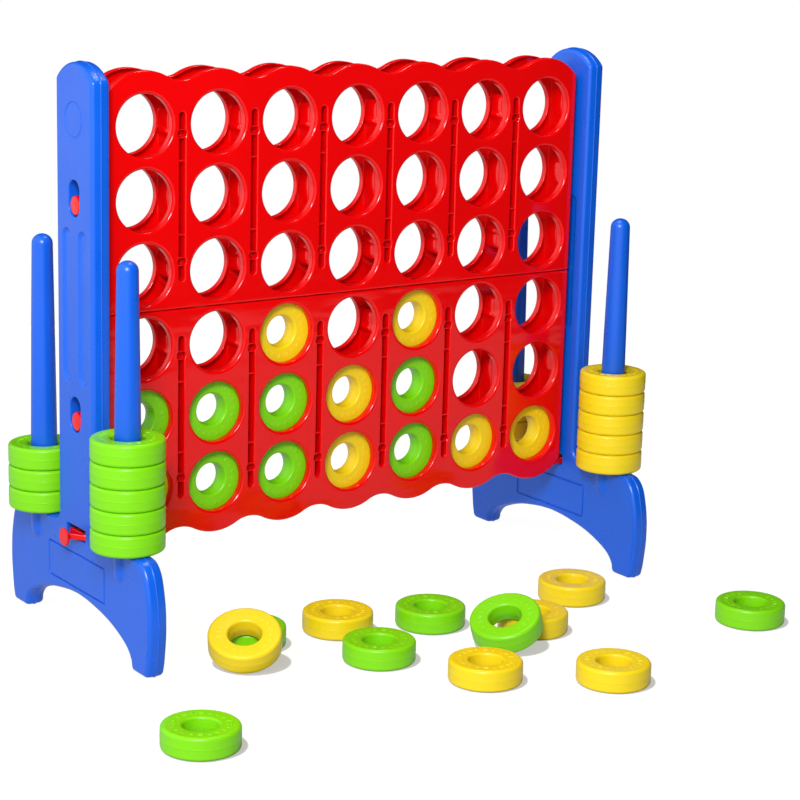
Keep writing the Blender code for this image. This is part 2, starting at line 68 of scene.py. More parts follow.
# Places read from the frame
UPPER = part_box("panel_front_upper")
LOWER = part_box("panel_front_lower")
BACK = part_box("panel_back_upper")
HALF_BOARD = (UPPER[1].x - UPPER[0].x) / 2
HALF_DEPTH = (BACK[1].y - UPPER[0].y) / 2
SEAM = UPPER[0].z - LOWER[1].z
MIDDLE = Vector(((UPPER[0].x + UPPER[1].x) / 2, (UPPER[0].y + BACK[1].y) / 2, (UPPER[0].z + LOWER[1].z) / 2))

# Board. Heights are measured from the seam's middle, and depths from the front face.
COLUMNS = 7
ROWS = 3  # in each panel
COLUMN_PITCH = 2 * HALF_BOARD / COLUMNS
ROW_PITCH = 0.140
INNER_ROW = SEAM / 2 + ROW_PITCH / 2
OUTER_ROW = INNER_ROW + (ROWS - 1) * ROW_PITCH
SCALLOP_RADIUS = UPPER[1].z - MIDDLE.z - OUTER_ROW
VALLEY_DROP = 0.020  # from a scallop's top to the valley beside it
CLEARANCE = 0.0003  # between pieces that touch
HOLE_RADIUS = 0.0592
HOLE_SIDES = 72
HOLE_LIP = 0.0062  # rounding of a hole's front edge
OUTLINE_LIP = 0.0039  # rounding of the panel's own front edge
OUTLINE_FILLET = 0.001
FLANGE = 0.0165  # depth of the wall round a hole
WALL = 0.0028
DIVIDER_WALL = 0.0021
REACH = HALF_DEPTH - CLEARANCE  # depth of the side walls and the dividers
GROOVE_HALF = 0.0060
GROOVE_LIP = 0.0034
GROOVE_DEPTH = 0.036
GROOVE_TOP = OUTER_ROW + 0.0225
GROOVE_BOTTOM = INNER_ROW - 0.0175
WELLS = (0.090, 0.332)  # heights of the screw wells above the panel's lower edge
WELL_RADIUS = 0.0088
PEG_HEIGHT = 0.205  # the board pegs, above and below the seam
PEG_NOTCH = 0.0183  # radius of a peg's half hole in a side wall
PEG_RADIUS = 0.018

# Stands and poles
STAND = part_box("stand_right")
LEFT_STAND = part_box("stand_left")
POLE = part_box("ring_pole_right_front")
STAND_HALF = 0.0195  # half a stand's thickness
STAND_EDGE = 0.0088  # rounding of a stand's outer edges
STAND_DRAFT = 0.0010
STAND_MIDDLE = (STAND[0].x + STAND[1].x) / 2 - MIDDLE.x
POLE_OFFSET = MIDDLE.y - (POLE[0].y + POLE[1].y) / 2
BASE_HEIGHT = 0.221
POLE_HEIGHT = 0.540

# Slider
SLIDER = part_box("release_slider")
SLIDER_THICKNESS = 0.0112

# Rings
RINGS_A_COLOUR = 21
LOOSE_RING = 16  # the first number on the floor, in either colour
RING_RADIUS = 0.070
RING_HALF = 0.02125

# Camera, as fitted to the board and the stands' feet, measured from the floor under the board's middle
CAMERA_PLACE = (-2.470756, -3.639062, 1.442498)
CAMERA_AZIMUTH = math.radians(35.7550)
CAMERA_ELEVATION = math.radians(13.2790)
CAMERA_ROLL = math.radians(1.59952)
CAMERA_LENS = 99.567

# Studio
FLOOR_LOW = (-3.0, -2.2)
FLOOR_HIGH = (2.2, 3.0)
FLOOR_WHITE = 0.33  # what the paper reflects
FLOOR_LIFT = 0.47  # light added to the paper where the camera looks at it
WALL_LIGHT = 1.0  # the bright wall on the left
ROOM = 0.04  # the rest of the room


def arc(centre, radius, start, end, steps):
    """Points on a circle from one angle to another, in degrees, both ends included."""
    angles = np.radians(np.linspace(start, end, steps + 1))
    return np.stack([centre[0] + radius * np.cos(angles), centre[1] + radius * np.sin(angles)], 1)


def circle(centre, radius, steps):
    """A closed circle, anticlockwise."""
    return arc(centre, radius, 0, 360, steps)[:-1]


def obround(x, low, high, half, steps=8, side=6):
    """An upright outline with round ends, anticlockwise."""
    top = arc((x, high - half), half, 0, 180, steps)
    bottom = arc((x, low + half), half, 180, 360, steps)
    heights = np.linspace(high - half, low + half, side + 1)[1:-1]
    left = np.stack([np.full(len(heights), x - half), heights], 1)
    right = np.stack([np.full(len(heights), x + half), heights[::-1]], 1)
    return np.concatenate([top, left, bottom, right])


def groove_outline(x):
    """A groove's edge, anticlockwise: an upright obround that swells round each screw well."""
    wells = [SEAM / 2 + height for height in WELLS]
    top = arc((x, GROOVE_TOP - GROOVE_HALF), GROOVE_HALF, 0, 180, 10)
    bottom = arc((x, GROOVE_BOTTOM + GROOVE_HALF), GROOVE_HALF, 180, 360, 10)
    heights = list(np.arange(GROOVE_BOTTOM + GROOVE_HALF + 0.008, GROOVE_TOP - GROOVE_HALF - 0.004, 0.012))
    reach = math.sqrt(WELL_RADIUS**2 - GROOVE_HALF**2)
    heights = [h for h in heights if min(abs(h - well) for well in wells) > reach + 0.002]
    for well in wells:
        heights += [well + reach * share for share in np.linspace(-1, 1, 11)]
    heights = np.array(sorted(heights))
    nearest = np.min([np.abs(heights - well) for well in wells], 0)
    half = np.maximum(np.sqrt(np.maximum(WELL_RADIUS**2 - nearest**2, 0)), GROOVE_HALF)
    left = np.stack([x - half, heights], 1)[::-1]
    right = np.stack([x + half, heights], 1)
    return np.concatenate([top, left, bottom, right])


def rounded_box(low, high, radius, steps=4, side=1):
    """A rectangle with rounded corners, anticlockwise."""
    x0, z0, x1, z1 = low[0], low[1], high[0], high[1]
    corners = [
        arc((x1 - radius, z1 - radius), radius, 0, 90, steps),
        arc((x0 + radius, z1 - radius), radius, 90, 180, steps),
        arc((x0 + radius, z0 + radius), radius, 180, 270, steps),
        arc((x1 - radius, z0 + radius), radius, 270, 360, steps),
    ]
    return dense(np.concatenate(corners), max(x1 - x0, z1 - z0) / side)


def dense(points, longest):
    """The closed outline with points added on any side that is longer than this."""
    result = []
    for one, other in zip(points, np.roll(points, -1, 0)):
        count = max(1, int(np.ceil(np.linalg.norm(other - one) / longest - 1e-6)))
        result += [one + (other - one) * step / count for step in range(count)]
    return np.array(result)


def spline(points, spacing):
    """A smooth open line through the points, with points about this far apart."""
    points = [np.array(p, float) for p in points]
    points = [2 * points[0] - points[1]] + points + [2 * points[-1] - points[-2]]
    result = []
    for a, b, c, d in zip(points, points[1:], points[2:], points[3:]):
        gaps = [max(np.linalg.norm(q - p), 1e-6) ** 0.5 for p, q in ((a, b), (b, c), (c, d))]
        knots = np.cumsum([0] + gaps)
        steps = max(1, int(round(np.linalg.norm(c - b) / spacing)))
        for t in np.linspace(knots[1], knots[2], steps + 1)[:-1]:
            line = [a, b, c, d]
            for width in (1, 2, 3):
                spans = list(zip(line, line[1:], knots, knots[width:]))
                line = [((last - t) * p + (t - first) * q) / (last - first) for p, q, first, last in spans]
            result.append(line[0])
    result.append(points[-2])
    return np.array(result)


def outward(points):
    """For each corner of a closed anticlockwise outline, the step that moves both its sides out by one."""
    before = points - np.roll(points, 1, 0)
    after = np.roll(points, -1, 0) - points
    sides = []
    for edge in (before, after):
        length = np.maximum(np.linalg.norm(edge, axis=1, keepdims=True), 1e-9)
        sides.append(np.stack([edge[:, 1], -edge[:, 0]], 1) / length)
    total = sides[0] + sides[1]
    return total * 2 / np.maximum((total**2).sum(1, keepdims=True), 0.8)


def quarter(offset, depth, radius, steps, start, end, hollow=False):
    """Profile rows round a circle: (offset, depth, normal's offset, normal's depth)."""
    rows = []
    for angle in np.radians(np.linspace(start, end, steps + 1)):
        along, down = math.cos(angle), math.sin(angle)
        sign = -1 if hollow else 1
        rows.append((offset + radius * along, depth + radius * down, sign * along, sign * down))
    return rows


def mirrored(rows, thickness):
    """The profile rows seen from the other face of a moulding this thick, in reverse."""
    return [(across, thickness - along, aside, -down) for across, along, aside, down in reversed(rows)]


class Skin:
    """The points, smooth normals and faces of one moulded piece."""

    def __init__(self):
        self.points = []
        self.normals = []
        self.faces = []
        self.count = 0

    def row(self, points, normals):
        """Adds points, and returns their numbers."""
        self.points.append(np.asarray(points, float))
        self.normals.append(np.asarray(normals, float))
        first = self.count
        self.count += len(points)
        return np.arange(first, self.count)

    def band(self, one, other):
        """Faces between two closed rows."""
        for i in range(len(one)):
            j = (i + 1) % len(one)
            self.faces.append((one[i], one[j], other[j], other[i]))

    def sweep(self, outline, rows, place, toward=1):
        """A band for each step of a profile, whose rows hold (offset, depth, normal aside, normal down).

        It returns the first and the last row. toward is -1 round an opening.
        """
        step = outward(outline) * toward
        unit = step / np.linalg.norm(step, axis=1, keepdims=True)
        made = []
        for offset, depth, aside, down in rows:
            depths = np.broadcast_to(depth, (len(outline),))
            normals = np.concatenate([unit * aside, np.full((len(outline), 1), down)], 1)
            flat = np.concatenate([outline + step * offset, depths[:, None]], 1)
            made.append(self.row(place(flat), place(normals, True)))
        for one, other in zip(made, made[1:]):
            self.band(one, other)
        return made[0], made[-1]

    def fill(self, loops, axes, extra=None):
        """Triangles over the flat area between closed rows, with the rows of extra points inside it."""
        points = np.concatenate(self.points)
        order = np.concatenate(list(loops) + ([extra] if extra is not None else []))
        flat = points[order][:, axes]
        edges, start = [], 0
        for loop in loops:
            edges += [(start + i, start + (i + 1) % len(loop)) for i in range(len(loop))]
            start += len(loop)
        result = delaunay_2d_cdt([Vector(p) for p in flat], edges, [], 0, 1e-7, True)
        corners = np.array([list(p) for p in result[0]])
        lost = [tuple(c) for c, ids in zip(result[0], result[3]) if not ids]
        if lost:
            raise ValueError(f"rows cross at {lost[:6]}")
        origin = np.array([order[ids[0]] for ids in result[3]])
        triangles = np.array(result[2])
        centres = corners[triangles].mean(1)
        inside = np.zeros(len(centres), bool)
        start = 0
        for loop in loops:
            ring = flat[start : start + len(loop)]
            start += len(loop)
            one, other = ring, np.roll(ring, -1, 0)
            for (x0, y0), (x1, y1) in zip(one, other):
                if y0 == y1:
                    continue
                hit = (centres[:, 1] >= min(y0, y1)) & (centres[:, 1] < max(y0, y1))
                cross = x0 + (centres[:, 1] - y0) * (x1 - x0) / (y1 - y0)
                inside ^= hit & (cross > centres[:, 0])
        self.faces += [tuple(t) for t in origin[triangles[inside]]]

    def mesh(self, name, bend=None, turn=None):
        """The mesh. bend moves the points and turns the normals, and turn is a rotation of both."""
        points = np.concatenate(self.points)
        normals = np.concatenate(self.normals)
        if bend:
            points, normals = bend(points, normals)
        if turn is not None:
            points, normals = points @ np.array(turn).T, normals @ np.array(turn).T
        normals = normals / np.maximum(np.linalg.norm(normals, axis=1, keepdims=True), 1e-9)
        outside = []
        for face in self.faces:
            face = tuple(int(i) for i in dict.fromkeys(face))
            if len(face) < 3:
                continue
            corner = points[list(face)] - points[face[0]]
            facing = np.cross(corner, np.roll(corner, -1, 0)).sum(0)
            outside.append(face if facing @ normals[list(face)].sum(0) >= 0 else face[::-1])
        mesh = bpy.data.meshes.new(name)
        mesh.from_pydata(points.tolist(), [], outside)
        mesh.shade_smooth()
        mesh.normals_split_custom_set_from_vertices(normals.tolist())
        return mesh


# ---------------------------------------------------------------- panel


def on_panel(flat, turn=False):
    """From (across, up, depth behind the front face) to the panel's own axes."""
    flat = np.asarray(flat)
    lift = 0 if turn else HALF_DEPTH
    return np.stack([flat[:, 0], flat[:, 2] - lift, flat[:, 1]], 1)


def panel_outline():
    """The panel's edge, anticlockwise from the seam's left end: seam, right side, scallops, left side."""
    corner, crown = 0.004, 0.012
    half = COLUMN_PITCH / 2
    hollow = (half**2 - 2 * SCALLOP_RADIUS * VALLEY_DROP + VALLEY_DROP**2) / (2 * VALLEY_DROP)
    lean = math.degrees(math.asin(half / (SCALLOP_RADIUS + hollow)))
    hollow_height = OUTER_ROW + (SCALLOP_RADIUS + hollow) * math.cos(math.radians(lean))
    last = (COLUMNS - 1) / 2 * COLUMN_PITCH
    inside = HALF_BOARD - crown
    rise = math.sqrt((SCALLOP_RADIUS - crown) ** 2 - (inside - last) ** 2)
    crown_height = OUTER_ROW + rise
    end = math.degrees(math.atan2(rise, inside - last))
    base = SEAM / 2
    parts = [arc((HALF_BOARD - corner, base + corner), corner, 270, 360, 4)]
    low, high = base + corner, crown_height
    spacing, beside_notch = 0.008, 0.0004
    heights = np.arange(low + spacing, high - spacing / 2, spacing)
    heights = [h for h in heights if abs(h - PEG_HEIGHT) > PEG_NOTCH + 0.001]
    heights += list(PEG_HEIGHT + PEG_NOTCH * np.cos(np.radians(np.arange(0, 181, 12))))
    heights += [PEG_HEIGHT - PEG_NOTCH - beside_notch, PEG_HEIGHT + PEG_NOTCH + beside_notch]
    heights = np.array(sorted(heights))
    parts.append(np.stack([np.full(len(heights), HALF_BOARD), heights], 1))
    parts.append(arc((inside, crown_height), crown, 0, end, 8))
    for column in reversed(range(COLUMNS)):
        x = (column - (COLUMNS - 1) / 2) * COLUMN_PITCH
        start = end if column == COLUMNS - 1 else 90 - lean
        stop = 180 - end if column == 0 else 90 + lean
        parts.append(arc((x, OUTER_ROW), SCALLOP_RADIUS, start, stop, 30)[1:])
        if column:
            parts.append(arc((x - half, hollow_height), hollow, 270 + lean, 270 - lean, 20)[1:])
    parts.append(arc((-inside, crown_height), crown, 180 - end, 180, 8)[1:])
    parts.append(np.stack([np.full(len(heights), -HALF_BOARD), heights[::-1]], 1))
    parts.append(arc((corner - HALF_BOARD, base + corner), corner, 180, 270, 4))
    return dense(np.concatenate(parts), 0.03)


def edge_rows(depth, lip, wall, fillet=0.003):
    """A moulded wall's section: round lip, wall, round rim, and the wall's back up to the plate's inside."""
    rows = [(-lip, 0, 0, -1)] + quarter(-lip, lip, lip, 6, -90, 0)[1:]
    rows += quarter(-wall / 2, depth - wall / 2, wall / 2, 6, 0, 180)
    rows += quarter(-wall - fillet, wall + fillet, fillet, 3, 0, -90, hollow=True)
    return rows


def bar(skin, place, start, end, radius, sides=8):
    """A small round bar between two points, with closed ends, in a moulding's own axes."""
    start, end = Vector(start), Vector(end)
    along = (end - start).normalized()
    aside = along.orthogonal().normalized()
    up = along.cross(aside)
    rings = []
    for centre, size, lean in ((start, 0.0, -1), (start, radius, 0), (end, radius, 0), (end, 0.0, 1)):
        shape, normals = [], []
        for step in range(sides):
            angle = math.tau * step / sides
            way = aside * math.cos(angle) + up * math.sin(angle)
            shape.append(centre + way * max(size, 1e-5))
            normals.append(way if not lean else along * lean)
        rings.append(skin.row(place(np.array(shape)), place(np.array(normals), True)))
    for one, other in zip(rings, rings[1:]):
        skin.band(one, other)


def slab(skin, place, low, high):
    """A thin rib with square edges, in a moulding's own axes."""
    low, high = np.array(low, float), np.array(high, float)
    for axis in range(3):
        for side in (0, 1):
            others = [a for a in range(3) if a != axis]
            corners = []
            for a, b in ((0, 0), (1, 0), (1, 1), (0, 1)):
                corner = np.zeros(3)
                corner[axis] = (low, high)[side][axis]
                corner[others[0]] = (low, high)[a][others[0]]
                corner[others[1]] = (low, high)[b][others[1]]
                corners.append(corner)
            normal = np.zeros(3)
            normal[axis] = 2 * side - 1
            rows = skin.row(place(np.array(corners)), place(np.array([normal] * 4), True))
            skin.faces.append(tuple(rows))


def panel_mesh():
    """The front upper panel, from the seam's middle: a thin shell with walls round every opening."""
    skin = Skin()
    outer, inner = [], []

    def opening(shape, rows, toward=-1):
        first, last = skin.sweep(shape, rows, on_panel, toward)
        outer.append(first)
        inner.append(last)

    outline = panel_outline()
    opening(outline, edge_rows(outline_depths(outline), OUTLINE_LIP, WALL, OUTLINE_FILLET), toward=1)
    for column in range(COLUMNS):
        x = (column - (COLUMNS - 1) / 2) * COLUMN_PITCH
        for row in range(ROWS):
            z = INNER_ROW + row * ROW_PITCH
            opening(circle((x, z), HOLE_RADIUS, HOLE_SIDES), edge_rows(FLANGE, HOLE_LIP, WALL))
            if row:
                web_between_holes(skin, x, z - ROW_PITCH / 2)
    for column in range(1, COLUMNS):
        x = (column - COLUMNS / 2) * COLUMN_PITCH
        shape = groove_outline(x)
        front, back = groove_rows()
        first, last = skin.sweep(shape, front, on_panel, -1)
        outer.append(first)
        skin.faces.append(tuple(last))
        first, last = skin.sweep(shape, back, on_panel, -1)
        inner.append(first)
        skin.faces.append(tuple(last))
        for height, inset, radius in groove_bars():
            wide = GROOVE_HALF + 0.0006
            bar(skin, on_panel, (x - wide, height, inset), (x + wide, height, inset), radius)
        for well in WELLS:
            well_floor(skin, x, SEAM / 2 + well)
        for row in range(ROWS):
            divider_ribs(skin, x, INNER_ROW + row * ROW_PITCH)
    skin.fill(outer, [0, 2])
    skin.fill(inner, [0, 2])
    return skin.mesh("panel")


def outline_depths(outline):
    """How deep the edge's wall is at each point: deep at the sides, and cut back round the pegs."""
    deep = np.where(np.abs(outline[:, 0]) > HALF_BOARD - 0.0006, REACH, FLANGE)
    beside = np.abs(outline[:, 1] - PEG_HEIGHT)
    on_side = (deep > FLANGE) & (beside < PEG_NOTCH)
    deep[on_side] = HALF_DEPTH - np.sqrt(PEG_NOTCH**2 - beside[on_side] ** 2)
    return deep


def groove_rows():
    """The sections of a groove: its front, which is sunk into the divider, and the divider's back."""
    round_floor, fillet = 0.0030, 0.002
    front = [(-GROOVE_LIP, 0, 0, -1)] + quarter(-GROOVE_LIP, GROOVE_LIP, GROOVE_LIP, 6, -90, 0)[1:]
    front += quarter(round_floor, GROOVE_DEPTH - round_floor, round_floor, 3, 180, 90, hollow=True)
    back = [(-DIVIDER_WALL - fillet, WALL, 0, 1)]
    back += quarter(-DIVIDER_WALL - fillet, WALL + fillet, fillet, 3, -90, 0, hollow=True)[1:]
    back += quarter(-DIVIDER_WALL + fillet, REACH - fillet, fillet, 3, 180, 90)
    return front, back


def web_between_holes(skin, x, height):
    """The upright rib inside the panel that joins the walls of two holes."""
    half_width, inset = 0.0009, 0.002
    half = ROW_PITCH / 2 - HOLE_RADIUS - WALL + 0.0005
    low = (x - half_width, height - half, inset)
    high = (x + half_width, height + half, FLANGE - inset)
    slab(skin, on_panel, low, high)


def divider_ribs(skin, x, row_height):
    """A thin rib down each side of a divider, a little below a hole's middle."""
    half_height, sunk, proud = 0.0006, 0.0005, 0.0008
    z = row_height - 0.0265
    side_wall = GROOVE_HALF + DIVIDER_WALL
    for side in (-1, 1):
        edges = sorted((x + side * (side_wall - sunk), x + side * (side_wall + proud)))
        low = (edges[0], z - half_height, 0.004)
        slab(skin, on_panel, low, (edges[1], z + half_height, REACH - 0.001))


def groove_bars():
    """The small bars across a groove: (height above the seam, depth, radius)."""
    bridge_depth, bridge_radius, bridge_rise = 0.0040, 0.0022, 0.0015
    rim_depth, rim_radius, rim_inset = 0.0046, 0.0014, 0.0012
    bars = []
    for row in range(ROWS - 1):
        bars.append((INNER_ROW + ROW_PITCH * (row + 0.5) + bridge_rise, bridge_depth, bridge_radius))
    for well in WELLS:
        for side in (1, -1):
            bars.append((SEAM / 2 + well + side * (WELL_RADIUS - rim_inset), rim_depth, rim_radius))
    return bars


def well_floor(skin, x, height):
    """The cup at a screw well: a short round wall with a floor and a screw post's blunt end in its middle."""
    radius, deep, post, sides = WELL_RADIUS + 0.0002, 0.0190, 0.0030, 24
    rows = [(radius, 0.0042, -1, 0), (radius, deep - 0.001, -1, 0)]
    rows += [(radius - 0.001, deep, 0, -1), (post, deep, 0, -1)]
    rows += [(post, deep, 1, 0), (post, deep - 0.0030, 1, 0), (0.0002, deep - 0.0034, 0, -1)]
    made = []
    for size, depth, aside, down in rows:
        ring = circle((0, 0), 1.0, sides)
        flat = np.concatenate([ring * size + (x, height), np.full((sides, 1), depth)], 1)
        normals = np.concatenate([ring * aside, np.full((sides, 1), down)], 1)
        made.append(skin.row(on_panel(flat), on_panel(normals, True)))
    for one, other in zip(made, made[1:]):
        skin.band(one, other)


# ---------------------------------------------------------------- stand


def on_stand(flat, turn=False):
    """From (front to back, up, depth below the outer face) to the stand's own axes, outer face at +X."""
    flat = np.asarray(flat)
    if turn:
        return np.stack([-flat[:, 2], flat[:, 0], flat[:, 1]], 1)
    return np.stack([STAND_HALF - flat[:, 2], flat[:, 0], flat[:, 1]], 1)


def stand_outline():
    """The stand from the side, anticlockwise from the arch's top."""
    top = STAND[1].z
    arch = [(0, 0.0855), (0.035, 0.0835), (0.065, 0.0795), (0.100, 0.0735), (0.132, 0.0655)]
    arch += [(0.160, 0.0555), (0.182, 0.0455), (0.197, 0.0365), (0.2065, 0.027), (0.2122, 0.0185)]
    inner_radius, outer_radius = 0.0116, 0.0125
    inner_foot = arc((0.2252, inner_radius), inner_radius, 184, 270, 6)
    outer_foot = arc((0.2645, outer_radius), outer_radius, 270, 345, 6)
    flank = [(0.2768, 0.010), (0.2805, 0.025), (0.2840, 0.050), (0.2868, 0.075)]
    flank += [(0.2876, 0.100), (0.2866, 0.125), (0.2832, 0.150), (0.2785, 0.170)]
    shoulder = [(0.2785, 0.170), (0.2722, 0.190), (0.2610, 0.2075), (0.2465, 0.2180), (0.2290, BASE_HEIGHT)]
    lines = [spline(arch, 0.004), inner_foot, outer_foot[:-1], spline(flank, 0.006)[:-1]]
    half = np.concatenate(lines + [spline(shoulder, 0.004)])
    post, armpit = 0.0725, 0.021
    fillet = arc((post + armpit, BASE_HEIGHT + armpit), armpit, 270, 180, 8)
    radius, corner = 0.0975, 0.013
    middle = top - radius
    inside = post - corner
    rise = math.sqrt((radius - corner) ** 2 - inside**2)
    end = math.degrees(math.atan2(rise, inside))
    knuckle = arc((inside, middle + rise), corner, 0, end, 6)
    dome = arc((0, middle), radius, end, 180 - end, 24)[1:-1]
    side = np.concatenate([half, fillet, knuckle])
    other_side = side[::-1][:-1] * np.array([-1, 1])
    return dense(np.concatenate([side, dome, other_side]), 0.02)


def through_stand(rows):
    """The profile rows, and the same in reverse down to the inner face."""
    return rows + mirrored(rows, 2 * STAND_HALF)


def stand_mesh():
    """A stand about its own middle, with soft edges, a parting line and sunk details."""
    skin = Skin()
    outline = stand_outline()
    start = -STAND_EDGE - STAND_DRAFT
    rows = [(start, 0, 0, -1)] + quarter(start, STAND_EDGE, STAND_EDGE, 8, -90, -8)[1:]
    rows += [(-0.0004, STAND_HALF - 0.0020, 0.99, -0.10), (0.0001, STAND_HALF - 0.0013, 0.75, -0.66)]
    rows += [(0.0007, STAND_HALF - 0.0007, 0.80, -0.60)]
    parting_line = [(0.0009, STAND_HALF, 1, 0)]
    profile = through_stand(rows)
    profile = profile[: len(rows)] + parting_line + profile[len(rows) :]
    first, last = skin.sweep(outline, profile, on_stand)
    near, far = [first], [last]
    for shape in stand_slots():
        lip = 0.0025
        rows = [(-lip, 0, 0, -1)] + quarter(-lip, lip, lip, 5, -90, 0)[1:]
        first, last = skin.sweep(shape, through_stand(rows), on_stand, -1)
        near.append(first)
        far.append(last)
    for face, loops in enumerate((near, far)):

        def place(flat, turn=False, face=face):
            flat = on_stand(flat, turn)
            return flat * np.array([-1, 1, 1]) if face else flat

        for shape, rows in stand_details():
            first, last = skin.sweep(shape, rows, place, -1)
            loops.append(first)
            skin.fill([last], [1, 2])
    extra = [boss_points(skin, outline, face) for face in (0, 1)]
    skin.fill(near, [1, 2], extra[0])
    skin.fill(far, [1, 2], extra[1])
    return skin.mesh("stand", boss_bend)


def stand_slots():
    """The outlines cut right through a stand: the two peg slots and the slider's."""
    slots = []
    for sign in (-1, 1):
        low = MIDDLE.z + sign * PEG_HEIGHT - 0.0205
        slots.append(obround(0, low, low + 0.068, 0.0212, 16, 4))
    slots.append(rounded_box((-0.0378, 0.1985), (0.0378, 0.2225), 0.004, 4, 8))
    return slots


def stand_details():
    """What is sunk into each face, as (outline, rows): two flutes, a circle and a rectangle's line."""
    flute = [(-0.0015, 0, 0, -1), (-0.0005, 0.0003, 0.4, -0.9), (0.0015, 0.0018, 0.75, -0.66)]
    flute += [(0.0035, 0.0034, 0.6, -0.8), (0.0065, 0.0042, 0.2, -0.98), (0.0090, 0.0044, 0, -1)]
    details = [(obround(y, 0.502, 0.794, 0.0155, 10, 12), flute) for y in (-0.031, 0.031)]
    sunk = [(-0.0022, 0, 0, -1), (-0.0012, 0.0004, 0.7, -0.7), (0, 0.0012, 0.35, -0.93)]
    sunk += [(0.0012, 0.0004, -0.7, -0.7), (0.0022, 0, 0, -1)]
    details.append((circle((0, 0.996), 0.0325, 64), sunk))
    line = [(-0.0030, 0, 0, -1), (-0.0024, 0.0004, 0.7, -0.7), (-0.0013, 0.0034, 0.97, -0.25)]
    line += [(-0.0008, 0.0038, 0.2, -1), (0.0008, 0.0038, -0.2, -1), (0.0013, 0.0034, -0.97, -0.25)]
    line += [(0.0024, 0.0004, -0.7, -0.7), (0.0030, 0, 0, -1)]
    details.append((rounded_box((-0.113, 0.0995), (0.113, 0.1680), 0.0035, 3, 12), line))
    return details


def boss_points(skin, outline, face):
    """Extra points over a face where the bosses swell out, well inside the outline."""
    points = []
    for sign in (-1, 1):
        for y in np.arange(-0.030, 0.0301, 0.0025):
            for z in np.arange(0.118, 0.2095, 0.003):
                points.append((sign * POLE_OFFSET + y, z, 2 * STAND_HALF * face))
    points = np.array(points)
    kept = points[~near_outline(points[:, :2], outline, STAND_EDGE + STAND_DRAFT + 0.001)]
    normals = np.zeros((len(kept), 3))
    normals[:, 2] = 1 if face else -1
    return skin.row(on_stand(kept), on_stand(normals, True))


def near_outline(points, outline, distance):
    """Whether each point is outside the outline or closer to it than this."""
    close = np.zeros(len(points), bool)
    inside = np.zeros(len(points), bool)
    for one, other in zip(outline, np.roll(outline, -1, 0)):
        side = other - one
        length = max((side**2).sum(), 1e-12)
        share = np.clip(((points - one) @ side) / length, 0, 1)
        close |= np.linalg.norm(points - one - share[:, None] * side, axis=1) < distance
        if one[1] != other[1]:
            hit = (points[:, 1] >= min(one[1], other[1])) & (points[:, 1] < max(one[1], other[1]))
            inside ^= hit & (one[0] + (points[:, 1] - one[1]) * side[0] / side[1] > points[:, 0])
    return close | ~inside


def boss_bend(points, normals):
    """Swells the stand round each pole's socket into a half-round boss with a round bottom."""

    def swell(depth, height):
        radius, low, stretch, soft = 0.0266, 0.178, 0.90, 0.0008
        aside = np.abs(np.abs(depth) - POLE_OFFSET)
        below = np.maximum(low - height, 0) * stretch
        far = np.hypot(aside, below)
        proud = np.sqrt(np.maximum(radius**2 - far**2, 0)) - STAND_HALF
        return 1 + (np.sqrt(proud**2 + soft**2) + proud) / 2 / STAND_HALF * (far < radius * 0.92)

    step, steepest = 1e-5, 200
    depth, height = points[:, 1], points[:, 2]
    scale = swell(depth, height)
    slope_y = (swell(depth + step, height) - swell(depth - step, height)) / (2 * step)
    slope_z = (swell(depth, height + step) - swell(depth, height - step)) / (2 * step)
    slope_y[np.abs(slope_y) > steepest] = 0
    slope_z[np.abs(slope_z) > steepest] = 0
    moved = points.copy()
    moved[:, 0] *= scale
    moved[:, 2] = np.maximum(moved[:, 2], 0)
    leaned = normals.copy()
    leaned[:, 0] = normals[:, 0] / scale
    leaned[:, 1] -= points[:, 0] * slope_y * leaned[:, 0]
    leaned[:, 2] -= points[:, 0] * slope_z * leaned[:, 0]
    return moved, leaned


# ---------------------------------------------------------------- turned pieces


def turned(skin, profile, sides, axis="Z", seam=0.0):
    """A turned surface from rows of (radius, height, normal's radius, normal's height).

    seam is how far a parting line stands out on two opposite sides. Returns the first and the last row.
    """
    made = []
    angles = np.linspace(0, math.tau, sides, endpoint=False)
    for radius, height, aside, along in profile:
        swell = np.ones(sides)
        if seam:
            swell[0] += seam / max(radius, 0.01)
            swell[sides // 2] += seam / max(radius, 0.01)
        way = np.stack([np.cos(angles), np.sin(angles)])
        ring = np.stack([*(radius * swell * way), np.full(sides, height)], 1)
        normals = np.stack([*(aside * way), np.full(sides, along)], 1)
        if axis == "X":
            ring, normals = ring[:, [2, 0, 1]], normals[:, [2, 0, 1]]
        made.append(skin.row(ring, normals))
    for one, other in zip(made, made[1:]):
        skin.band(one, other)
    return made[0], made[-1]


def pole_mesh():
    """A ring pole, with its foot on the base's top at Z = 0."""
    skin = Skin()
    spigot, spigot_length, edge = 0.016, 0.050, 0.0012
    taper = [(0.0269, CLEARANCE), (0.0266, 0.06), (0.0257, 0.14), (0.0246, 0.223)]
    taper += [(0.0233, 0.32), (0.0218, 0.42), (0.0202, 0.521)]
    line = spline(taper, 0.03)
    slope = np.gradient(line, axis=0)
    foot = taper[0][0]
    rows = [(0.0, -spigot_length, 0, -1), (spigot - edge, -spigot_length, 0, -1)]
    rows += [(spigot, edge - spigot_length, 1, 0), (spigot, CLEARANCE, 1, 0)]
    rows += [(spigot, CLEARANCE, 0, -1), (foot - 0.0007, CLEARANCE, 0, -1), (foot, 0.001, 1, 0)]
    for (radius, height), (widening, climb) in list(zip(line, slope))[1:]:
        length = math.hypot(widening, climb)
        rows.append((radius, height, climb / length, -widening / length))
    top, height = line[-1]
    crown = POLE_HEIGHT - height
    for angle in np.radians(np.linspace(0, 90, 13))[1:]:
        across, up = math.cos(angle), math.sin(angle)
        rows.append((top * across, height + crown * up, across / top, up / crown))
    turned(skin, rows, 96, seam=0.00018)
    return skin.mesh("ring_pole")


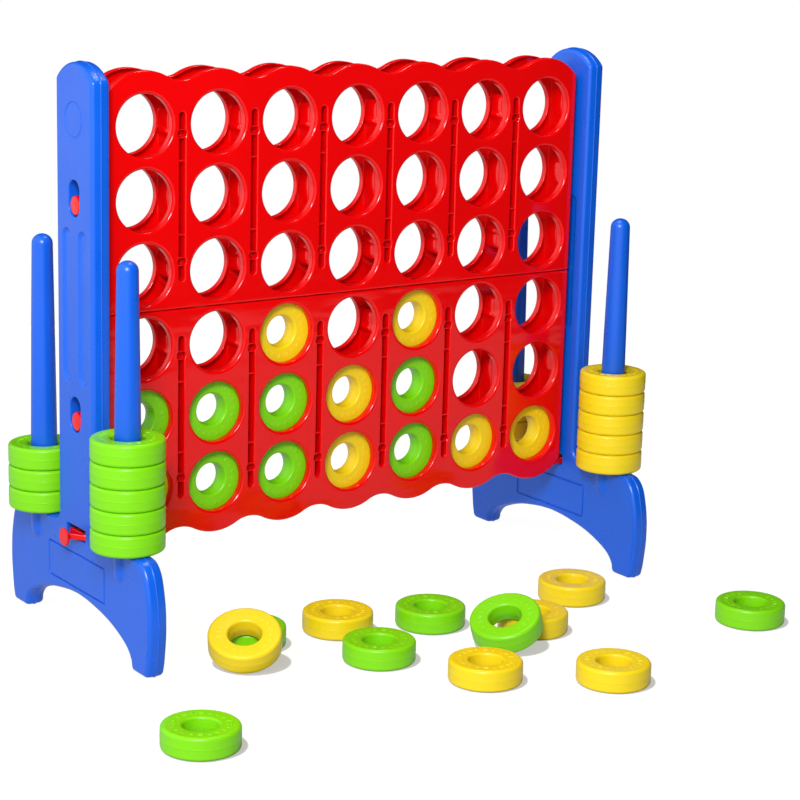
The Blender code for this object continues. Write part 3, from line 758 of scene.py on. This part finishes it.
def peg_mesh():
    """A board peg along +X, measured from the board's middle."""
    skin = Skin()
    outer = STAND_MIDDLE + STAND_HALF - 0.002
    inner = HALF_BOARD - 0.007
    seat = inner + 0.003
    head, shoulder, edge = 0.022, 0.024, 0.001
    near = HALF_BOARD + CLEARANCE
    far = STAND_MIDDLE - STAND_HALF - CLEARANCE
    rows = [(0, inner, 0, -1), (head - edge, inner, 0, -1), (head, inner + edge, 1, 0), (head, seat, 1, 0)]
    rows += [(head, seat, 0, 1), (PEG_RADIUS, seat, 0, 1), (PEG_RADIUS, seat, 1, 0)]
    rows += [(PEG_RADIUS, near, 1, 0), (PEG_RADIUS, near, 0, -1)]
    rows += [(shoulder - edge, near, 0, -1), (shoulder, near + edge, 1, 0)]
    rows += [(shoulder, far - edge, 1, 0), (shoulder - edge, far, 0, 1), (PEG_RADIUS, far, 0, 1)]
    rows += [(PEG_RADIUS, far, 1, 0), (PEG_RADIUS, outer - 0.002, 1, 0)]
    rows += [(PEG_RADIUS - 0.0006, outer - 0.0006, 0.7, 0.7), (PEG_RADIUS - 0.002, outer, 0.1, 1)]
    rows += [(0.0, outer + 0.0006, 0, 1)]
    turned(skin, rows, 48, "X")
    return skin.mesh("board_peg")


def ring_skin():
    """A ring about Z: round edges, a bore that opens out in a full curve, a parting line and raised marks."""
    skin = Skin()
    edge, flare, taper, bore = 0.0066, 0.0052, 0.0030, 0.0290
    mouth = bore + taper + flare
    mouth_height = RING_HALF - 0.0012
    rows = [(mouth, mouth_height, -0.06, 1), (RING_RADIUS - edge - 0.004, RING_HALF, -0.03, 1)]
    rows += quarter(RING_RADIUS - 0.0004 - edge, RING_HALF - edge, edge, 8, 90, 2)
    rows += [(RING_RADIUS - 0.0003, 0.0012, 1, 0.05), (RING_RADIUS - 0.00005, 0.0004, 0.9, 0.4)]
    rows += mirrored(rows, 0)
    inside = quarter(mouth, flare - mouth_height, flare, 8, 266, 190)
    inside += [(bore + taper * 0.35, -0.0060, -1, -0.17), (bore, -0.0004, -1, -0.04)]
    rows += inside + mirrored(inside, 0)
    first, last = turned(skin, rows, 96)
    skin.band(last, first)
    for side in (-1, 1):
        marks(skin, side)
    return skin


def marks(skin, side):
    """Plain raised marks round a ring's face: a bar, a dot, two bars across, a wedge, two bars."""
    radius, proud, count = 0.0495, 0.0009, 20
    face = RING_HALF - 0.0004

    def place(flat, turn=False):
        flat = np.asarray(flat, float)
        return flat * np.array([1, side, side])

    stroke = obround(0, -0.0042, 0.0042, 0.0010, 3, 1)
    crosswise = stroke @ np.array([[0, 1], [-1, 0]])
    wedge = np.array([(-0.0038, -0.0036), (0.0038, -0.0036), (0.0, 0.0042)])
    symbols = [[stroke], [circle((0, 0), 0.0036, 14)], [crosswise + (0, 0.0027), crosswise - (0, 0.0027)]]
    symbols += [[wedge], [stroke + (0.0024, 0), stroke - (0.0024, 0)]]
    rows = [(0.0005, face - 0.0007, 0.7, 0.7), (0, face + proud * 0.5, 0.5, 0.85)]
    rows += [(-0.0006, face + proud, 0.1, 1)]
    for index in range(count):
        angle = math.tau * (index + 0.5) / count
        middle = np.array([radius * math.cos(angle), radius * math.sin(angle)])
        spin = np.array([[-math.sin(angle), math.cos(angle)], [-math.cos(angle), -math.sin(angle)]])
        for symbol in symbols[index % len(symbols)]:
            first, last = skin.sweep(dense(symbol, 0.002) @ spin + middle, rows, place)
            skin.faces.append(tuple(last))


# ---------------------------------------------------------------- slider


def on_slider(flat, turn=False):
    """From (across, front to back, depth below the top) to the slider's own axes."""
    lift = 0 if turn else SLIDER_THICKNESS / 2
    return np.asarray(flat) * np.array([1, 1, -1]) + np.array([0, 0, lift])


def slider_rows():
    """A section down through the slider, with a rounded edge at its top and its bottom."""
    lip = 0.0016
    rows = [(-lip, 0, 0, -1)] + quarter(-lip, lip, lip, 4, -90, 0)[1:]
    return rows + mirrored(rows, SLIDER_THICKNESS)


def slider_mesh():
    """The release slider about the board's middle, with its mid-height at Z = 0."""
    skin = Skin()
    half = (SLIDER[1].y - SLIDER[0].y) / 2
    right = SLIDER[1].x - MIDDLE.x
    knob_face = SLIDER[0].x - MIDDLE.x
    shoulder = LEFT_STAND[0].x + 0.0125 - MIDDLE.x
    neck = knob_face + 0.0025
    stem, stem_length = 0.006, 0.013
    shape = [(right, -half), (right, half), (shoulder, half), (neck + stem_length, stem), (neck, stem)]
    shape += [(neck, -stem), (neck + stem_length, -stem), (shoulder, -half)]
    first, last = skin.sweep(dense(np.array(shape), 0.05), slider_rows(), on_slider)
    near, far = [first], [last]
    for hole in slider_holes(half, right, shoulder, neck):
        first, last = skin.sweep(hole, slider_rows(), on_slider, -1)
        near.append(first)
        far.append(last)
    skin.fill(near, [0, 1])
    skin.fill(far, [0, 1])
    knob(skin, knob_face)
    return skin.mesh("release_slider")


def slider_holes(half, right, shoulder, neck):
    """The gaps between the rungs, one rung under each column, and the yoke's opening behind the knob."""
    rail, rung = 0.0087, 0.006
    inside = half - rail
    edges = [shoulder + 0.006]
    for column in range(COLUMNS):
        x = (column - (COLUMNS - 1) / 2) * COLUMN_PITCH
        edges += [x - rung / 2, x + rung / 2]
    edges.append(right - rail)
    holes = []
    for low, high in zip(edges[::2], edges[1::2]):
        holes.append(rounded_box((low, -inside), (high, inside), 0.003, 3, 3))
    tip, tip_half, root = neck + 0.024, 0.003, shoulder - 0.001
    yoke = np.array([(root, inside), (tip, tip_half), (tip, -tip_half), (root, -inside)])
    holes.append(dense(yoke, 0.02))
    return holes


def knob(skin, face):
    """The round knob at the slider's end, with the start of its stem."""
    disc = 0.0178
    rows = [(0, 0, 0, -1), (disc - 0.0015, 0, 0, -1), (disc - 0.0004, 0.0004, 0.7, -0.7)]
    rows += [(disc, 0.0015, 1, 0), (disc, 0.0032, 1, 0), (disc - 0.0012, 0.0046, 0.6, 0.8)]
    rows += [(0.0075, 0.005, 0.2, 1), (0.0062, 0.0066, 1, 0.4), (0.0058, 0.015, 1, 0), (0, 0.015, 0, 1)]
    turned(skin, [(radius, face + along, *normal) for radius, along, *normal in rows], 48, "X")


# ---------------------------------------------------------------- materials


def plastic(name, colour, roughness, specular, grain, wave, streak=(1, 1, 1)):
    """Moulded polyethylene: slight colour drift, uneven gloss, fine grain and the slow waves of a thin wall.

    grain and wave are the heights of the finest and the slowest bumps, in metres.
    """
    drift, gloss_drift = 0.03, 0.15
    material = bpy.data.materials.new(name)
    material.use_nodes = True
    nodes, links = material.node_tree.nodes, material.node_tree.links
    shader = nodes["Principled BSDF"]
    place = nodes.new("ShaderNodeTexCoord")

    def noise(scale, detail, stretch=(1, 1, 1)):
        mapping = nodes.new("ShaderNodeMapping")
        mapping.inputs["Scale"].default_value = stretch
        links.new(place.outputs["Object"], mapping.inputs["Vector"])
        node = nodes.new("ShaderNodeTexNoise")
        node.inputs["Scale"].default_value = scale
        node.inputs["Detail"].default_value = detail
        links.new(mapping.outputs["Vector"], node.inputs["Vector"])
        return node.outputs["Fac"]

    def ramp(source, low, high):
        node = nodes.new("ShaderNodeMapRange")
        node.inputs["From Min"].default_value = 0.3
        node.inputs["From Max"].default_value = 0.7
        node.inputs["To Min"].default_value = low
        node.inputs["To Max"].default_value = high
        links.new(source, node.inputs["Value"])
        return node.outputs["Result"]

    def bump(source, height):
        node = nodes.new("ShaderNodeBump")
        node.inputs["Strength"].default_value = 1.0
        node.inputs["Distance"].default_value = height
        links.new(source, node.inputs["Height"])
        return node

    tint = nodes.new("ShaderNodeHueSaturation")
    tint.inputs["Color"].default_value = (*colour, 1)
    links.new(ramp(noise(6, 3), 1 - drift, 1 + drift), tint.inputs["Value"])
    links.new(tint.outputs["Color"], shader.inputs["Base Color"])
    gloss = ramp(noise(14, 4), roughness * (1 - gloss_drift), roughness * (1 + gloss_drift))
    links.new(gloss, shader.inputs["Roughness"])
    shader.inputs["Specular IOR Level"].default_value = specular
    slow = bump(noise(5, 2, streak), wave)
    fine = bump(noise(420, 2), grain)
    links.new(slow.outputs["Normal"], fine.inputs["Normal"])
    links.new(fine.outputs["Normal"], shader.inputs["Normal"])
    return material


RED = plastic("red_plastic", (0.78, 0.0008, 0.0015), 0.10, 0.4, 0.00001, 0.0022, (1, 1, 3))
BLUE = plastic("blue_plastic", (0.0015, 0.105, 0.68), 0.30, 0.5, 0.00002, 0.0006)
GREEN = plastic("green_plastic", (0.20, 0.66, 0.004), 0.32, 0.35, 0.00003, 0.0004)
YELLOW = plastic("yellow_plastic", (0.84, 0.63, 0.010), 0.32, 0.35, 0.00003, 0.0004)


# ---------------------------------------------------------------- pieces


def piece(name, mesh, place, body, material, node):
    """One visible piece, in place of its CAD node."""
    obj = bpy.data.objects.new(name, mesh)
    bpy.context.scene.collection.objects.link(obj)
    obj.matrix_world = place
    if not mesh.materials:
        mesh.materials.append(material)
    obj.material_slots[0].link = "OBJECT"
    obj.material_slots[0].material = material
    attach(obj, body)
    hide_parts(node)
    return obj


def ring_place(node):
    """Where a ring's CAD solid lies: its middle, and the way its bore points."""
    mesh = frame["nodes"][node].data
    co = np.zeros(len(mesh.vertices) * 3)
    mesh.vertices.foreach_get("co", co)
    co = np.unique(np.round(co.reshape(-1, 3), 6), axis=0)
    middle = co.mean(0)
    _, sizes, ways = np.linalg.svd(co - middle, full_matrices=False)
    axis = Vector(ways[int(np.argmin(sizes))])
    if axis.z < -0.1 or (abs(axis.z) <= 0.1 and axis.y > 0):
        axis = -axis
    return Vector(middle), axis


def build_board():
    """The panel four times: each of the others is the front upper one turned half round an axis."""
    panel = panel_mesh()
    for name, turn in (
        ("panel_front_upper", Matrix.Identity(4)),
        ("panel_front_lower", Matrix.Rotation(math.pi, 4, "Y")),
        ("panel_back_upper", Matrix.Rotation(math.pi, 4, "Z")),
        ("panel_back_lower", Matrix.Rotation(math.pi, 4, "X")),
    ):
        place = Matrix.Translation(MIDDLE) @ turn
        piece("board_" + name, panel, place, "set", RED, name)


def build_sides():
    """The stands, the ring poles and the board pegs."""
    stand, pole, peg = stand_mesh(), pole_mesh(), peg_mesh()
    ground = Vector((MIDDLE.x, MIDDLE.y, 0))
    pole_turn = Matrix.Rotation(0.4, 4, "Z")
    for side, sign in (("left", -1), ("right", 1)):
        turn = Matrix.Rotation(0 if sign > 0 else math.pi, 4, "Z")
        place = Matrix.Translation(ground + Vector((sign * STAND_MIDDLE, 0, 0))) @ turn
        piece(f"side_stand_{side}", stand, place, "set", BLUE, f"stand_{side}")
        for end, depth in (("front", -1), ("rear", 1)):
            foot = ground + Vector((sign * STAND_MIDDLE, depth * POLE_OFFSET, BASE_HEIGHT))
            name = f"{side}_{end}"
            place = Matrix.Translation(foot) @ pole_turn
            piece("pole_" + name, pole, place, "set", BLUE, "ring_pole_" + name)
        for level, rise in (("upper", 1), ("lower", -1)):
            place = Matrix.Translation(MIDDLE + Vector((0, 0, rise * PEG_HEIGHT))) @ turn
            name = f"{side}_{level}"
            piece("peg_" + name, peg, place, "set", RED, "board_peg_" + name)


def build_slider():
    """The slider, just under the lowest rings."""
    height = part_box("ring_green_02")[0].z - CLEARANCE - SLIDER_THICKNESS / 2
    place = Matrix.Translation((MIDDLE.x, MIDDLE.y, height))
    piece("slider", slider_mesh(), place, "slider", RED, "release_slider")


def build_rings():
    """All 42 rings, each turned round its own axis by a random angle, so that their marks don't line up."""
    skin = ring_skin()
    spins = np.random.default_rng(4)
    for colour, material in (("green", GREEN), ("yellow", YELLOW)):
        for index in range(1, RINGS_A_COLOUR + 1):
            node = f"ring_{colour}_{index:02d}"
            middle, axis = ring_place(node)
            # Four numbers belong to each ring, and the first is its angle.
            angle = spins.uniform(0, math.tau, 4)[0]
            turn = axis.to_track_quat("Z", "Y").to_matrix() @ Matrix.Rotation(angle, 3, "Z")
            mesh = skin.mesh(node, turn=turn)
            place = Matrix.Translation(middle)
            piece(f"{colour}_ring_{index:02d}", mesh, place, node + "_body", material, node)


# ---------------------------------------------------------------- camera and studio


def camera():
    """A long lens from the front left, a little above the board."""
    data = bpy.data.cameras.new("camera")
    data.sensor_width = 36
    data.lens = CAMERA_LENS
    data.clip_end = 100
    level = Vector((math.cos(CAMERA_AZIMUTH), -math.sin(CAMERA_AZIMUTH), 0))
    ahead = Vector((math.sin(CAMERA_AZIMUTH), math.cos(CAMERA_AZIMUTH), 0))
    forward = ahead * math.cos(CAMERA_ELEVATION) - Vector((0, 0, math.sin(CAMERA_ELEVATION)))
    rise = level.cross(forward)
    right = level * math.cos(CAMERA_ROLL) + rise * math.sin(CAMERA_ROLL)
    up = rise * math.cos(CAMERA_ROLL) - level * math.sin(CAMERA_ROLL)
    turn = Matrix((right, up, -forward)).transposed().to_4x4()
    obj = bpy.data.objects.new("camera", data)
    ground = Vector((MIDDLE.x, MIDDLE.y, 0))
    obj.matrix_world = Matrix.Translation(ground + Vector(CAMERA_PLACE)) @ turn
    bpy.context.scene.collection.objects.link(obj)
    bpy.context.scene.camera = obj


def softbox(name, place, target, size, power):
    """A square lamp that faces the target."""
    data = bpy.data.lights.new(name, "AREA")
    data.shape = "RECTANGLE"
    data.size, data.size_y = size, size
    data.energy = power
    obj = bpy.data.objects.new(name, data)
    obj.location = place
    obj.rotation_euler = (Vector(target) - Vector(place)).to_track_quat("-Z", "Y").to_euler()
    bpy.context.scene.collection.objects.link(obj)
    return obj


def distant_light(name, way, strength, angle):
    """A lamp whose light falls the same way everywhere."""
    data = bpy.data.lights.new(name, "SUN")
    data.energy = strength
    data.angle = angle
    obj = bpy.data.objects.new(name, data)
    obj.rotation_euler = Vector(way).to_track_quat("-Z", "Y").to_euler()
    bpy.context.scene.collection.objects.link(obj)
    return obj


def studio_floor():
    """White paper round the game. It looks white itself, and lights the game less than its looks would."""
    mesh = bpy.data.meshes.new("floor")
    (left, front), (right, back) = FLOOR_LOW, FLOOR_HIGH
    corners = [(left, front, 0), (right, front, 0), (right, back, 0), (left, back, 0)]
    mesh.from_pydata(corners, [], [(0, 1, 2, 3)])
    floor = bpy.data.objects.new("floor", mesh)
    bpy.context.scene.collection.objects.link(floor)
    material = bpy.data.materials.new("floor_paper")
    material.use_nodes = True
    nodes, links = material.node_tree.nodes, material.node_tree.links
    shader = nodes["Principled BSDF"]
    shader.inputs["Base Color"].default_value = (FLOOR_WHITE, FLOOR_WHITE, FLOOR_WHITE, 1)
    shader.inputs["Roughness"].default_value = 1.0
    shader.inputs["Specular IOR Level"].default_value = 0.0
    shader.inputs["Emission Color"].default_value = (1, 0.985, 0.95, 1)
    path = nodes.new("ShaderNodeLightPath")
    lift = nodes.new("ShaderNodeMath")
    lift.operation = "MULTIPLY"
    lift.inputs[1].default_value = FLOOR_LIFT
    links.new(path.outputs["Is Camera Ray"], lift.inputs[0])
    links.new(lift.outputs["Value"], shader.inputs["Emission Strength"])
    mesh.materials.append(material)
    return floor


def studio_world():
    """White to look at, but it lights the game from a bright wall on the left of a dark room."""
    world = bpy.data.worlds.new("studio")
    world.use_nodes = True
    nodes, links = world.node_tree.nodes, world.node_tree.links
    nodes["Background"].inputs["Color"].default_value = (1, 1, 1, 1)
    around = nodes.new("ShaderNodeTexCoord")
    apart = nodes.new("ShaderNodeSeparateXYZ")
    links.new(around.outputs["Generated"], apart.inputs["Vector"])
    wall = nodes.new("ShaderNodeMapRange")
    wall.interpolation_type = "SMOOTHSTEP"
    wall.inputs["From Min"].default_value = -0.50
    wall.inputs["From Max"].default_value = 0.10
    wall.inputs["To Min"].default_value = WALL_LIGHT
    wall.inputs["To Max"].default_value = ROOM
    links.new(apart.outputs["X"], wall.inputs["Value"])
    path = nodes.new("ShaderNodeLightPath")
    seen = nodes.new("ShaderNodeMix")
    links.new(path.outputs["Is Camera Ray"], seen.inputs["Factor"])
    links.new(wall.outputs["Result"], seen.inputs["A"])
    seen.inputs["B"].default_value = 1.0
    links.new(seen.outputs["Result"], nodes["Background"].inputs["Strength"])
    bpy.context.scene.world = world


def studio():
    """Lamps for the game, and a light of the paper's own that only the loose rings shade."""
    floor = studio_floor()
    studio_world()
    key = softbox("key", (-2.0, -2.0, 2.3), (-0.2, 0.1, 0.7), 0.9, 98)
    overhead = softbox("overhead", (0.3, 0.2, 2.8), (0, 0, 0.5), 0.6, 14)
    paper_light = distant_light("paper_light", (0.34, 0.0, -1), 4.9, math.radians(4))
    paper = bpy.data.collections.new("paper")
    paper.objects.link(floor)
    game = bpy.data.collections.new("game")
    loose = bpy.data.collections.new("loose_rings")
    for obj in bpy.context.scene.objects:
        if obj.type == "MESH" and obj is not floor and not obj.hide_render:
            game.objects.link(obj)
            if "_ring_" in obj.name and int(obj.name[-2:]) >= LOOSE_RING:
                loose.objects.link(obj)
    paper_light.light_linking.receiver_collection = paper
    paper_light.light_linking.blocker_collection = loose
    key.light_linking.receiver_collection = game
    overhead.light_linking.receiver_collection = game
    bpy.context.scene.view_settings.view_transform = "Standard"


build_board()
build_sides()
build_slider()
build_rings()
camera()
studio()
bpy.context.view_layer.update()
